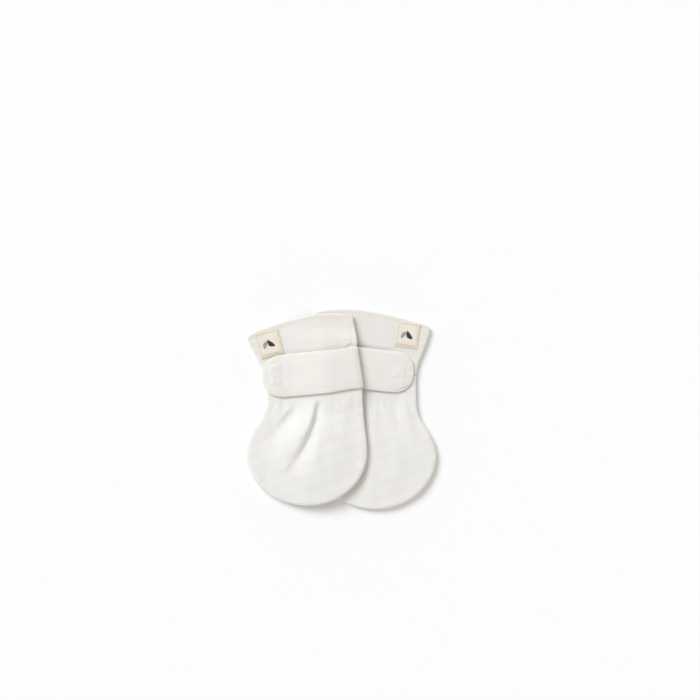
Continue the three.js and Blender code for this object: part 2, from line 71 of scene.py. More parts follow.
# Sections from the cuff opening to the widest line of the pouch:
# both ends in plan, bow of the middle, rise of the front over the seam, depth of the gathers.
LX, LY, RX, RY, BOW, RISE, GATHER = range(7)
LEFT = {
    "name": "left",
    "sections": np.array([
        (-53.2, 40.4, 6.2, 52.4, 4.2, 1.5, 0),
        (-49.9, 34.2, 7.4, 45.8, 3.2, 1.45, 0.05),
        (-46.4, 27.6, 8.7, 38.6, 2, 1.35, 0.15),
        (-43.9, 22.2, 8.5, 31.4, 0.8, 1.3, 0),
        (-42.3, 16.4, 9.9, 22.2, 0, 1.3, 0),
        (-41, 7.4, 11.5, 11.2, -0.6, 1.3, 0),
        (-41.6, 1.2, 12, 3, -0.8, 1.6, 0.42),
        (-44.4, -5, 12.6, -4.6, -0.8, 2.1, 0.34),
        (-48.4, -10.8, 13.3, -10.8, -0.6, 2.5, 0.2),
        (-51.4, -17.4, 14.2, -17.2, -0.3, 2.7, 0.08),
        (-52.8, -23.5, 14.5, -23.5, 0, 2.7, 0),
    ]),
    "end": (-19.15, -23.5, 33.65, 29.8),
    "dome": 1.2, "pressed_to": -100, "skew": -0.2, "corner_left": 4.2, "corner_right": 2,
    "strap": {"root": (12.2, 22.7), "tip": (-43.7, 17.4), "half": 11.8, "flare": 0.5, "corner": 12.5,
              "droop": 0.5, "lip": 0, "lift": 1.6, "sag": 0, "press": 0.45, "print": 0.42,
              "patch": (-36.2, 19.2, 7.4, 12),
              "ridges": ((2.6, 33.4, 9, 35.4, 0.8, 0.5), (-28.5, 27.2, -37, 24, 1.6, 0.12),
                         (-30, 12, -37, 14.5, 1.3, 0.1))},
    "label": (-39.8, 36.2, 13.2, 14.2, 15),
}
RIGHT = {
    "name": "right",
    "sections": np.array([
        (-15, 53.8, 49.9, 45.8, 4.2, 1.5, 0),
        (-12.4, 47, 48, 39.2, 3.2, 1.45, 0.05),
        (-9.8, 40.4, 45.6, 32.4, 2, 1.35, 0.15),
        (-7.6, 33.6, 42.9, 26, 0.8, 1.3, 0),
        (-6.7, 25, 41.5, 18.6, 0, 1.3, 0),
        (-6.4, 13.2, 41.5, 8.8, -0.6, 1.3, 0),
        (-5.8, 4.4, 41.7, 2.2, -0.8, 1.55, 0.42),
        (-6, -4.4, 43.6, -5.2, -0.8, 1.9, 0.34),
        (-8.6, -10.2, 47.2, -10.8, -0.6, 2.2, 0.2),
        (-12.4, -17.6, 50.9, -18, -0.3, 2.3, 0.08),
        (-14.4, -25, 52.8, -25, 0, 2.3, 0),
    ]),
    "end": (19.2, -25, 33.6, 30.4),
    "dome": 1, "pressed_to": 19, "skew": 0.4, "corner_left": 2, "corner_right": 4,
    "strap": {"root": (-8.8, 24.4), "tip": (40.2, 21.2), "half": 11.4, "flare": 0.3, "corner": 11.5,
              "droop": 0.5, "lip": 1.7, "lift": 0, "sag": 1.1, "press": 0.8, "print": 0.34,
              "patch": (32, 20.8, 7.2, 7.4),
              "ridges": ((22, 31.8, 32.5, 29.8, 0.9, 0.16), (30, 13.4, 37, 16, 1, 0.1))},
    "label": (36.7, 41, 12.4, 13.8, -9),
}

# Creases of each panel: three points of its curve, half width on its left and on its right (seen down
# the curve), depth. They narrow to the wrist and fade to the far end; a negative depth stands up.
CREASES = {
    "left_pouch_front": (
        (-12, 10, -18.1, -17.2, -34, -39, 3.2, 1.4, 2.3),
        (-14.6, 10, -21.2, -16.6, -37, -37, 2, 9, -1.5),
        (-15.6, -8, -22.8, -24.5, -35, -44, 6.5, 3, 1.7),
        (-26, 2, -33, -9.8, -46, -18.5, 6, 3, 2.3),
        (-3, 9, -3.6, 1, -4.6, -11, 2, 2.4, 0.4),
        (2, 8, 2.6, -3, 5, -14, 2.2, 2.2, -0.3),
        (-23, 10, -24, 6, -25.5, 0, 1, 1.3, 0.45),
        (-35, 9, -36.5, 4, -39, -1, 1.1, 1.3, 0.4),
        (6, 9, 6.6, 4, 8, -4, 1, 1.2, 0.35),
        (-8.5, 10, -8.8, 6, -9.4, 0, 1, 1.2, 0.4),
    ),
    "right_pouch_front": (
        (33, 8, 38.5, -9, 45.5, -30, 2.8, 4.2, -0.95),
        (28, 9, 31, -6, 36, -21, 1.8, 3.4, 0.8),
        (14.2, 9, 16.4, -6, 19.5, -23, 2.2, 3.6, -0.6),
        (20.5, 9, 21.8, -3, 24.5, -17, 2, 2.4, 0.5),
        (4.5, 3, 3, -12, -3, -30, 4.2, 2.6, 0.8),
        (36.5, 9, 37.2, 4, 39.5, -4, 1, 1.2, 0.4),
        (25, 9.5, 25.6, 5, 26.6, -1, 1, 1.2, 0.35),
        (17, 9.5, 17.4, 6, 18, 0, 0.9, 1.1, 0.35),
    ),
    "left_pouch_back": (
        (-30, 15, -35, -8, -43, -22, 2.4, 1.8, 0.55),
        (-21, 17, -22.5, -8, -26, -27, 1.6, 2.4, 0.75),
        (-9, 18, -7, -6, -4, -18, 2.2, 1.6, 0.6),
        (1, 19, 5, -5, 9, -19, 2, 2, 0.4),
    ),
    "right_pouch_back": (
        (2, 22, -1, -4, -6, -20, 2.3, 1.8, 0.55),
        (14, 21, 13.5, -6, 10, -24, 1.6, 2.4, 0.7),
        (24, 20, 27, -6, 31, -22, 2.2, 1.6, 0.65),
        (34, 18, 38.5, -4, 45, -18, 2, 2, 0.45),
    ),
}


def joined(*rows):
    return np.concatenate(rows)


def points_of(*columns):
    return np.column_stack(columns)


def smooth(v):
    v = np.clip(v, 0, 1)
    return v * v * (3 - 2 * v)


def sin(deg):
    return np.sin(np.radians(deg))


def cos(deg):
    return np.cos(np.radians(deg))


def hump(x, half):
    return np.exp(-((x / half) ** 2))


def section_at(rows, v):
    """The sections at the values v, on a smooth curve through the rows."""
    v = np.asarray(v, float)
    i = np.clip(np.floor(v).astype(int), 0, len(rows) - 2)
    f = (v - i)[..., None]
    p, q, r, s = (rows[np.clip(i + k, 0, len(rows) - 1)] for k in (-1, 0, 1, 2))
    return q + 0.5 * f * (r - p + f * (2 * p - 5 * q + 4 * r - s + f * (3 * (q - r) + s - p)))


def span(at):
    return np.hypot(at[..., RX] - at[..., LX], at[..., RY] - at[..., LY])


def across(at, distance, skew=0.0):
    """Points at a distance in from the left end of a section, on its bowed line."""
    length = span(at)
    f = distance / length
    lift = at[..., BOW] * 4 * f * (1 - f) * (1 + skew * (1 - 2 * f))
    ux, uy = (at[..., RX] - at[..., LX]) / length, (at[..., RY] - at[..., LY]) / length
    return np.stack([at[..., LX] + distance * ux - lift * uy, at[..., LY] + distance * uy + lift * ux], -1)


def at_fractions(line, fractions):
    """Rows of numbers at fractions of the way along a line of points; x and y come first."""
    reach = joined([0], np.cumsum(np.hypot(*np.diff(line[:, :2], axis=0).T)))
    want = np.asarray(fractions) * reach[-1]
    return np.stack([np.interp(want, reach, c) for c in line.T], -1)


def pouch_side(mitten, key, fractions):
    """Side of a pouch from the wrist to where its foot begins: x, y, rise, gather."""
    rows, (cx, cy, a, b) = mitten["sections"], mitten["end"]
    at = section_at(rows, np.arange(WRIST, len(rows) - 1.01, 0.04))
    upper = at[:, [LX, LY, RISE, GATHER] if key == "l" else [RX, RY, RISE, GATHER]]
    turn = np.arange(0, FOOT_ANGLE + 0.01, 1.5)
    dx = a * cos(turn) * (-1 if key == "l" else 1)
    lower = np.stack([cx + dx, cy - b * sin(turn), 0 * turn + rows[-1, RISE], 0 * turn], -1)
    return at_fractions(joined(upper, lower), fractions)


def pouch_foot(mitten, fractions):
    cx, cy, a, b = mitten["end"]
    turn = np.arange(180 + FOOT_ANGLE, 360 - FOOT_ANGLE + 0.01, 1.5)
    rise = mitten["sections"][-1, RISE]
    line = np.stack([cx + a * cos(turn), cy + b * sin(turn), 0 * turn + rise, 0 * turn], -1)
    return at_fractions(line, fractions)


def edge_distance(points, outline, closed=True):
    """Distance of points to an outline, how far along it the nearest place is, and whether they lie inside."""
    a = outline
    b = np.roll(outline, -1, 0) if closed else outline[1:]
    a = a if closed else outline[:-1]
    e = b - a
    size = np.hypot(*e.T)
    start = joined([0], np.cumsum(size)[:-1])
    near, place, inside = [], [], []
    for part in np.array_split(points, max(1, len(points) // 3000)):
        d = part[:, None] - a[None]
        f = np.clip((d * e).sum(-1) / np.maximum(size**2, 1e-9), 0, 1)
        far = np.hypot(d[..., 0] - f * e[:, 0], d[..., 1] - f * e[:, 1])
        k = far.argmin(1)
        row = np.arange(len(part))
        near.append(far[row, k])
        place.append(start[k] + f[row, k] * size[k])
        crossing = (a[:, 1] > part[:, 1:2]) != (b[:, 1] > part[:, 1:2])
        with np.errstate(divide="ignore", invalid="ignore"):
            x = a[:, 0] + e[:, 0] * (part[:, 1:2] - a[:, 1]) / e[:, 1]
        inside.append((crossing & (part[:, 0:1] < x)).sum(1) % 2 == 1)
    return np.concatenate(near), np.concatenate(place), np.concatenate(inside)


def outline_of(mitten):
    sides = []
    for key, cols in (("l", [LX, LY]), ("r", [RX, RY])):
        cuff = section_at(mitten["sections"], np.arange(0, WRIST, 0.25))[:, cols]
        sides.append(joined(cuff, pouch_side(mitten, key, np.linspace(0, 1, 40))[:, :2]))
    foot = pouch_foot(mitten, np.linspace(0, 1, 30))[1:-1, :2]
    return joined(sides[0], foot, sides[1][::-1])


RIGHT_OUTLINE = outline_of(RIGHT)


def left_base(x, y):
    """Height at which the left mitten lies: on the floor, and up over the right mitten where they cross."""
    near, _, inside = edge_distance(np.stack([x, y], -1), RIGHT_OUTLINE)
    over = 4.5 + 1.05 * smooth((y + 3) / 11) - 1.35 * smooth((y - 37.5) / 9)
    return over * smooth((np.where(inside, near, -near) + 28) / 30)


LEFT["base"] = left_base
RIGHT["base"] = lambda x, y: 0 * x


def creases(name, x, y):
    """Height that the long creases of a panel add."""
    height = np.zeros_like(x)
    q = np.linspace(0, 1, 61)
    for x1, y1, x2, y2, x3, y3, half_left, half_right, depth in CREASES.get(name, ()):
        cx = (1 - q) ** 2 * x1 + 2 * q * (1 - q) * (2 * x2 - (x1 + x3) / 2) + q * q * x3
        cy = (1 - q) ** 2 * y1 + 2 * q * (1 - q) * (2 * y2 - (y1 + y3) / 2) + q * q * y3
        line = np.stack([cx, cy], -1)
        far, place, _ = edge_distance(np.stack([x, y], -1), line, closed=False)
        along = place / np.hypot(*np.diff(line, axis=0).T).sum()
        k = np.clip((along * 60).astype(int), 0, 59)
        step = line[k + 1] - line[k]
        on_left = step[:, 0] * (y - line[k, 1]) - step[:, 1] * (x - line[k, 0]) > 0
        fade = smooth(1.15 * (1 - along)) * smooth(0.35 + 2.4 * along)
        height -= depth * fade * hump(far, np.where(on_left, half_left, half_right) * (0.55 + 0.8 * along))
    return height


def gathers(u, depth, phase):
    wave = 2 * np.pi * (GATHERS * u + 0.35 * np.sin(5 * u + phase)) + phase
    fine = 0.35 * np.cos(2.3 * wave + 1.7 * np.sin(3 * u))
    return np.maximum(depth, 0) * (np.cos(wave) + fine) * (0.75 + 0.25 * np.sin(11 * u + phase))


def unevenness(x, y, phase):
    """Slow hollows and swells that soft jersey keeps after a wash."""
    return (np.sin(0.31 * x + 0.17 * y + phase) * np.sin(0.23 * y - 0.11 * x + 2 * phase)
            + 0.6 * np.sin(0.52 * x - 0.37 * y + 3 * phase) * np.sin(0.47 * y + 0.21 * x + phase))


def ripple(along, far, phase):
    """Small puckers that a sewn edge pulls into the cloth beside it."""
    wave = np.sin(1.45 * along + 1.3 * np.sin(0.31 * along + phase)) + 0.5 * np.sin(2.6 * along + phase)
    return wave * np.exp(-far / 2.2) * (0.6 + 0.4 * np.sin(0.19 * along + 2 * phase))


def rolled(turn, wall, rise, widest, deg):
    """Profile of a rolled side: inset and height of the outer face, then of the inner face."""
    curl = widest / sin(70)
    up = np.maximum(deg, 0)
    down = np.minimum(deg, 0)
    outer_in = np.where(deg >= 0, turn * (1 - np.maximum(cos(up), 0) ** FULL), curl * (1 - cos(down)))
    outer_up = widest + np.where(deg >= 0, (rise - widest) * sin(up) ** FULL, curl * sin(down))
    tuck = curl * (1 - cos(70)) + 0.5
    inner_in = np.where(deg >= 0, wall + (turn - wall) * (1 - cos(up)), wall + (tuck - wall) * down / -70)
    inner_up = np.where(deg >= 0, 0.1 + (rise - wall - 0.1) * sin(up), 0.1 * (1 + down / 70))
    return outer_in, outer_up, inner_in, inner_up


def grid_quads(rows, cols):
    i, j = np.meshgrid(np.arange(rows - 1), np.arange(cols - 1), indexing="ij")
    a = (i * cols + j).ravel()
    return np.stack([a, a + 1, a + cols + 1, a + cols], -1)


def finished(mesh, uv, material):
    """Makes a mesh a smooth piece of the scene, with its cloth UVs (one a vertex) and its material."""
    layer = mesh.uv_layers.new(name="cloth")
    loops = np.zeros(len(mesh.loops), np.int32)
    mesh.loops.foreach_get("vertex_index", loops)
    layer.data.foreach_set("uv", uv[loops].astype(np.float32).ravel())
    mesh.polygons.foreach_set("use_smooth", np.ones(len(mesh.polygons), bool))
    mesh.materials.append(material)
    mesh.update()
    piece = bpy.data.objects.new(mesh.name, mesh)
    bpy.context.scene.collection.objects.link(piece)
    return piece


def shell(name, outer, inner, uv, quads, material):
    """A closed cloth shell from its outer and inner points, in mm, with UVs in mm of cloth."""
    n = len(outer)
    a = np.concatenate([quads[:, k] for k in range(4)])
    b = np.concatenate([quads[:, (k + 1) % 4] for k in range(4)])
    edge = ~np.isin(a.astype(np.int64) * n + b, b.astype(np.int64) * n + a)
    a, b = a[edge], b[edge]
    faces = joined(quads, quads[:, ::-1] + n, np.stack([b, a, a + n, b + n], -1))
    mesh = bpy.data.meshes.new(name)
    mesh.from_pydata((joined(outer, inner) * MM).tolist(), [], faces.tolist())
    return finished(mesh, joined(uv, uv), material)


def u_panel(left, foot, right, turn, lead):
    """Plan of a panel with a seam down one side, round its foot and up the other side. Returns the
    seam's points and outward directions, the level part inside the roll, and the grid's parameters and size."""
    rows, cols = len(left) - 1, len(foot) - 1
    seam = joined(left, foot[1:-1], right[::-1])
    last = len(seam) - 1
    side = right[0, :2] - left[0, :2]
    side = side / np.hypot(*side)
    step = np.gradient(seam[:, :2], axis=0)
    out = np.stack([step[:, 1], -step[:, 0]], -1)
    out /= np.hypot(*out.T)[:, None]
    reach = joined([0], np.cumsum(np.hypot(*np.diff(seam[:, :2], axis=0).T)))
    for ends, away in ((reach / lead, -side), ((reach[-1] - reach) / lead, side)):
        w = smooth(ends)[:, None]
        out = w * out + (1 - w) * away
    out /= np.hypot(*out.T)[:, None]
    edge = seam[:, :2] - turn * out
    us = (joined([0], np.cumsum(np.hypot(*np.diff(foot[:, :2], axis=0).T))))
    us = us / us[-1]
    ts = reach[:rows + 1] / reach[rows]
    u, t = np.meshgrid(us, ts)
    l, r, low = edge[:rows + 1][:, None], edge[last - np.arange(rows + 1)][:, None], edge[rows:rows + cols + 1][None]
    top = (edge[0] + us[:, None] * (edge[last] - edge[0]))[None]
    u_, t_ = u[..., None], t[..., None]
    core = ((1 - u_) * l + u_ * r + (1 - t_) * top + t_ * low
            - (1 - t_) * ((1 - u_) * edge[0] + u_ * edge[last])
                    - t_ * ((1 - u_) * edge[rows] + u_ * edge[rows + cols]))
    k = np.arange(last + 1)
    seam_u = np.where(k <= rows, 0, np.where(k < rows + cols, np.interp(k - rows, np.arange(cols + 1), us),
            1))
    seam_t = np.where(k <= rows, ts[np.minimum(k, rows)],
            np.where(k < rows + cols, 1, ts[np.clip(last - k, 0, rows)]))
    return SimpleNamespace(seam=seam, out=out, edge=edge, core=core.reshape(-1, 2), u=u.ravel(), t=t.ravel(),
                           seam_u=seam_u, seam_t=seam_t, rows=rows, cols=cols)


def u_quads(plan, rings):
    """Quads of a u_panel: the rings of the roll from the seam inwards, then the level part."""
    rows, cols = plan.rows, plan.cols
    many = len(plan.seam)
    last = many - 1
    k = np.arange(many)
    cell = rings * many
    rim = np.where(k <= rows, cell + k * (cols + 1),
                   np.where(k < rows + cols, cell + rows * (cols + 1) + k - rows,
                           cell + (last - k) * (cols + 1) + cols))
    loops = [r * many + k for r in range(rings)] + [rim]
    quads = [np.stack([a[:-1], a[1:], b[1:], b[:-1]], -1) for a, b in zip(loops[:-1], loops[1:])]
    i, j = np.meshgrid(np.arange(rows), np.arange(cols), indexing="ij")
    a = (cell + i * (cols + 1) + j).ravel()
    quads.append(np.stack([a, a + cols + 1, a + cols + 2, a + 1], -1))
    return np.concatenate(quads)


def pinched(outer, inner, far, radius):
    """Rounds an edge: both faces meet in the middle at the edge, and are apart from the radius on."""
    f = np.clip(1 - far / radius, 0, 1)
    g = np.sqrt(np.maximum(1 - f * f, 0.01))[:, None]
    mid = (outer + inner) / 2
    return mid + (outer - mid) * g, mid + (inner - mid) * g


def lifted(mitten, *faces):
    for p in faces:
        p[:, 2] += mitten["base"](p[:, 0], p[:, 1])
    return faces


def near_edge(count, fine):
    """Fractions from 0 to 1 with close steps first, for a row that carries a seam."""
    return joined(np.asarray(fine), np.linspace(fine[-1], 1, count)[1:])


def pouch_panel(mitten, front, material):
    """The front or back of a pouch, rolled at its seam and creased down from the wrist."""
    name = mitten["name"] + ("_pouch_front" if front else "_pouch_back")
    turn, widest, wall = (FRONT_TURN, FRONT_WIDEST, POUCH_WALL) if front else (BACK_TURN, BACK_WIDEST,
            POUCH_WALL)
    rows, cols = (118, 124) if front else (66, 60)
    ts = near_edge(rows, (0, 0.002, 0.005, 0.009, 0.014, 0.02))
    us = np.linspace(0, 1, cols + 1)
    plan = u_panel(pouch_side(mitten, "l", ts), pouch_foot(mitten, us), pouch_side(mitten, "r", ts), turn, 12)
    seam, out = plan.seam, plan.out
    wrist = section_at(mitten["sections"], WRIST)
    down = np.array([wrist[RY] - wrist[LY], -(wrist[RX] - wrist[LX])]) / span(wrist)
    start = np.array([wrist[LX], wrist[LY]])

    outers, inners, uvs = [], [], []
    rise = seam[:, 2] if front else np.full(len(seam), SEAM_Z - SEAM_HALF)
    arcs = []
    profile = [rolled(turn, wall, float(rise.mean()), widest, np.float64(d)) for d in (*ROLL, 90)]
    for a, b in zip(profile[:-1], profile[1:]):
        arcs.append(math.hypot(b[0] - a[0], b[1] - a[1]))
    arcs = np.cumsum(arcs[::-1])[::-1]
    for deg, arc in zip(ROLL, arcs):
        o_in, o_up, i_in, i_up = rolled(turn, wall, rise, widest, np.float64(deg))
        outers.append(points_of(seam[:, :2] - o_in * out, o_up))
        inners.append(points_of(seam[:, :2] - i_in * out, i_up))
        uvs.append(plan.edge + arc * out)
    left, right = seam[:plan.rows + 1], seam[::-1][:plan.rows + 1]
    level = ((1 - plan.u) * np.repeat(left[:, 2], plan.cols + 1)
            + plan.u * np.repeat(right[:, 2], plan.cols + 1))
    depth = ((1 - plan.u) * np.repeat(left[:, 3], plan.cols + 1)
            + plan.u * np.repeat(right[:, 3], plan.cols + 1))
    if not front:
        level = np.full(len(level), SEAM_Z - SEAM_HALF)
    outers.append(points_of(plan.core, level))
    inners.append(points_of(plan.core, level - wall))
    uvs.append(plan.core)
    outer, inner, uv = np.concatenate(outers), np.concatenate(inners), np.concatenate(uvs)
    many = len(seam)
    turned = joined(np.repeat(np.maximum(sin(np.array(ROLL)), 0), many), np.ones(len(plan.core)))
    u = joined(np.tile(plan.seam_u, len(ROLL)), plan.u)
    t = joined(np.tile(plan.seam_t, len(ROLL)), plan.t)
    depth = joined(np.tile(seam[:, 3], len(ROLL)), depth)

    x, y = outer[:, 0], outer[:, 1]
    far, along, _ = edge_distance(outer[:, :2], seam[:, :2], closed=False)
    from_wrist = (outer[:, :2] - start) @ down
    below = smooth((t - STRAP_FOOT) * 8)
    if front:
        pressed = smooth((mitten["pressed_to"] - x) / 10) * smooth((t - STRAP_FOOT) * 6)
        dome = mitten["dome"] * smooth((far - turn) / 19) * smooth((t - STRAP_FOOT) * 3.2)
        small = gathers(u, depth, 0.6) * smooth((from_wrist - 6) / 4) * smooth((24 - from_wrist) / 13)
        relief = creases(name, x, y) * below + 0.55 * small
        relief += 0.13 * ripple(along, far, 1.0 if mitten is LEFT else 2.4) * below
        relief += 0.17 * unevenness(x, y, 0.8 if mitten is LEFT else 2.0) * below
        add = (dome * (1 - pressed) + relief * (1 - 0.6 * pressed) - 0.28 * pressed * rise.mean()) * turned
        outer[:, 2] += add
        floor = 2.45 - SEAM_Z - SEAM_HALF
        z = outer[:, 2] - floor
        core = turned == 1
        outer[core, 2] = (floor + (z + np.sqrt(z * z + 0.09)) / 2)[core]
        inner[:, 2] += np.where(core, 0, add)
        inner[core, 2] = outer[core, 2] - wall
    else:
        relief = -creases(name, x, y) + 0.22 * smooth(gathers(u, 0.5 * smooth(1.2 - from_wrist / 16), 1.9))
        relief += 0.05 * (1 + ripple(along, far, 0.4)) + 0.05 * (1
                + unevenness(x, y, 1.1)) * smooth((far - turn) / 4)
        relief = np.clip(relief, 0, 1.0) * turned
        outer[:, 2] -= relief
        inner[:, 2] -= relief
    dip = 0.5 * (1 - smooth(from_wrist / 1.0)) * np.clip(turned * 1.5, 0, 1)
    outer[:, 2] -= dip
    for p in (outer, inner):
        close = smooth(1 - from_wrist / 1.5)[:, None]
        p[:, :2] += down * SEAM_HALF * close
        p[:, 2] = SEAM_Z + SEAM_HALF + p[:, 2] if front else SEAM_Z - SEAM_HALF - p[:, 2]
    quads = u_quads(plan, len(ROLL))
    lifted(mitten, outer, inner)
    return shell(name + "_cloth", outer, inner, uv, quads if front else quads[:, ::-1], material)


def corner_inset(from_fold, radius):
    f = np.clip(1 - from_fold / radius, 0, 1)
    return radius * (1 - np.sqrt(1 - f * f))


def cuff_panel(mitten, front, material):
    """The front or back of a cuff: a folded band, its fold at the opening."""
    name = mitten["name"] + ("_cuff_front" if front else "_cuff_back")
    turn, widest = (FRONT_TURN, FRONT_WIDEST) if front else (BACK_TURN, BACK_WIDEST)
    many = 92 if front else 56
    step = 0.62 if front else 0.9
    folds = np.array([0, 0.03, 0.1, 0.2, 0.34, 0.52, 0.74, 1.0, 1.3, 1.65, 2.05, 2.5, 3.0])
    top = 7.0 * WRIST
    fold_rows = joined(folds, np.arange(3.5, top - 1.3, step), top - np.array([1.2, 0.8, 0.5, 0.25, 0.1, 0]))
    from_fold = fold_rows[::-1]
    at = section_at(mitten["sections"], from_fold / 7.0)
    skew = mitten["skew"] * smooth(1 - from_fold / 14.0)
    start = corner_inset(from_fold, mitten["corner_left"])
    end = span(at) - corner_inset(from_fold, mitten["corner_right"])
    rise = at[:, RISE] + 0.25 * smooth(1 - from_fold / 7.0 * 1.6) if front else np.full(len(at),
            SEAM_Z - SEAM_HALF)
    columns = [("l", d) for d in ROLL] + [("m", f) for f in np.linspace(0, 1, many + 1)] + [("r",
            d) for d in ROLL[::-1]]
    roll = [rolled(turn, CUFF_WALL, 1.4, widest, np.float64(d)) for d in (*ROLL, 90)]
    arcs = np.cumsum([math.hypot(b[0] - a[0], b[1] - a[1]) for a, b in zip(roll[:-1], roll[1:])][::-1])[::-1]
    arc_of = dict(zip(ROLL, arcs))
    outer, inner, uv, us, turned, sides = [], [], [], [], [], []
    for kind, f in columns:
        if kind == "m":
            s = start + turn + f * (end - start - 2 * turn)
            plan = across(at, s, skew)
            outer.append(points_of(plan, rise))
            inner.append(points_of(plan, rise - CUFF_WALL))
            uv.append(points_of(s, -from_fold))
            us.append(np.full(len(at), f))
            turned.append(np.ones(len(at)))
            sides.append(turn + np.minimum(f, 1 - f) * (end - start - 2 * turn))
            continue
        o_in, o_up, i_in, i_up = rolled(turn, CUFF_WALL, rise, widest, np.float64(f))
        s_out, s_in = (start + o_in, start + i_in) if kind == "l" else (end - o_in, end - i_in)
        outer.append(points_of(across(at, s_out, skew), o_up))
        inner.append(points_of(across(at, s_in, skew), i_up))
        uv.append(points_of(start + turn - arc_of[f] if kind == "l" else end - turn + arc_of[f], -from_fold))
        us.append(np.full(len(at), 0.0 if kind == "l" else 1.0))
        turned.append(np.full(len(at), max(sin(f), 0)))
        sides.append(np.full(len(at), o_in) if np.ndim(o_in) == 0 else o_in)
    cols = len(columns)
    outer, inner, uv = (np.stack(a, 1).reshape(-1, a[0].shape[1]) for a in (outer, inner, uv))
    us, turned, side = (np.stack(a, 1).ravel() for a in (us, turned, sides))
    fold = np.repeat(from_fold, cols)
    gather = np.repeat(at[:, GATHER], cols)
    x, y = outer[:, 0], outer[:, 1]
    if front:
        relief = 0.45 * gathers(us, gather, 2.1)
        relief += 0.12 * hump(fold - 1.3, 1.2) - 0.04 * hump(fold - 3.2, 1.0)
        relief -= strap_press(mitten, x, y)
        relief += 0.10 * unevenness(x, y, 0.3 if mitten is LEFT else 1.5) * smooth(fold / 4)
        relief += 0.05 * ripple(x + 0.4 * y, fold, 1.3) + 0.07 * ripple(y, side - turn, 0.5)
        if mitten is LEFT:
            relief -= 0.30 * hump(side - 2.5, 0.5) * (us > 0.5) * smooth((fold - 1.0) / 2) * smooth((22
                    - fold) / 6)
            relief += 0.12 * hump(side - 3.6, 0.7) * (us > 0.5)
            relief += 0.3 * hump(np.hypot((x - 2.2) / 1.1, (y - 35.0) / 0.9),
                    1) - 0.9 * hump(np.hypot((x - 5.0) / 1.2, (y - 35.2) / 0.8), 1)
    else:
        relief = -0.3 * smooth(gathers(us, 0.5 * smooth((fold - 18) / 10), 0.9)) - 0.12 * hump(fold - 2.9,
                0.8)
        relief -= 0.04 * (1 + unevenness(x, y, 2.2)) * smooth((side - turn) / 4)
        relief = np.minimum(relief, 0)
    relief = relief * turned
    outer[:, 2] += relief
    inner[:, 2] += relief
    to_wrist = 7.0 * WRIST - fold
    outer[:, 2] -= 0.5 * (1 - smooth(to_wrist / 1.0)) * np.clip(turned * 1.5, 0, 1)
    wrist = at[0]
    down = np.array([wrist[RY] - wrist[LY], -(wrist[RX] - wrist[LX])]) / span(wrist)
    for p in (outer, inner):
        p[:, :2] -= down * SEAM_HALF * smooth(1 - to_wrist / 1.5)[:, None]
        p[:, 2] = SEAM_Z + SEAM_HALF + p[:, 2] if front else SEAM_Z - SEAM_HALF - p[:, 2]
    outer, inner = pinched(outer, inner, fold, CUFF_WALL / 2)
    lifted(mitten, outer, inner)
    quads = grid_quads(len(from_fold), cols)
    return shell(name + "_cloth", outer, inner, uv, quads if front else quads[:, ::-1], material)


def side_at(mitten, key, y):
    """Where the side of a mitten stands in X at a height in Y, between its cuff and its shoulder."""
    at = section_at(mitten["sections"], np.arange(1.5, 8, 0.05))
    xs, ys = (at[:, LX], at[:, LY]) if key == "l" else (at[:, RX], at[:, RY])
    return np.interp(y, ys[::-1], xs[::-1])


def strap_frame(mitten):
    """Where a strap starts, the direction it runs in and how far its tip is."""
    root, tip = np.array(mitten["strap"]["root"]), np.array(mitten["strap"]["tip"])
    length = np.hypot(*(tip - root))
    return root, (tip - root) / length, length


def strap_plan(mitten, q, w):
    """Plan of a strap's points from how far they lie along it (q) and across it (w), and their true distance along."""
    shape = mitten["strap"]
    root, along, _ = strap_frame(mitten)
    key = "r" if along[0] < 0 else "l"
    shift = 0 * w
    for _ in range(3):
        y = root[1] + along[0] * w + along[1] * shift
        shift = (side_at(mitten, key, y) - along[0] * (0.3 + STRAP_WALL) - root[0] + along[1] * w) / along[0]
    s = q + shift * smooth((32 - q) / 26)
    wide = w * (1 + shape["flare"] * smooth(1 - q / 14) / shape["half"])
    wide = wide - np.maximum(w / shape["half"], 0) * shape["lift"] * smooth(1 - q / 24)
    x = root[0] + along[0] * s - along[1] * wide
    y = root[1] + along[1] * s + along[0] * wide - shape["sag"] * smooth((s - 12) / 26)
    return x, y, s


def strap_outline(mitten):
    """Outline of a strap in plan, open at its root."""
    half, corner = mitten["strap"]["half"], mitten["strap"]["corner"]
    length = strap_frame(mitten)[2]
    deg = np.linspace(0, 90, 30)
    q = joined(np.linspace(0, length - corner, 60)[:-1], length - corner + corner * sin(deg) ** 0.9)
    w = half * joined(np.ones(59), np.maximum(cos(deg), 0) ** 0.85)
    x, y, _ = strap_plan(mitten, joined(q, q[::-1][1:]), joined(-w, w[::-1][1:]))
    return points_of(x, y)


def strap_press(mitten, x, y):
    """Height that a tight strap takes off the cloth under it and close beside it."""
    outline = strap_outline(mitten)
    far, _, inside = edge_distance(points_of(x, y), outline)
    root, along, length = strap_frame(mitten)
    q = (x - root[0]) * along[0] + (y - root[1]) * along[1]
    firm = mitten["strap"]["press"] * (1 - 0.85 * smooth((q / length - 0.55) / 0.4))
    return firm * smooth((2.4 - np.where(inside, -far, far)) / 2.6)


STRAP_EDGE = ((0.30, 0.04), (0.13, 0.10), (0.04, 0.21), (0.0, 0.34), (0.05, 0.49), (0.17, 0.62),
        (0.38, 0.73), (0.66, 0.79))
STRAP_TURN = 0.95


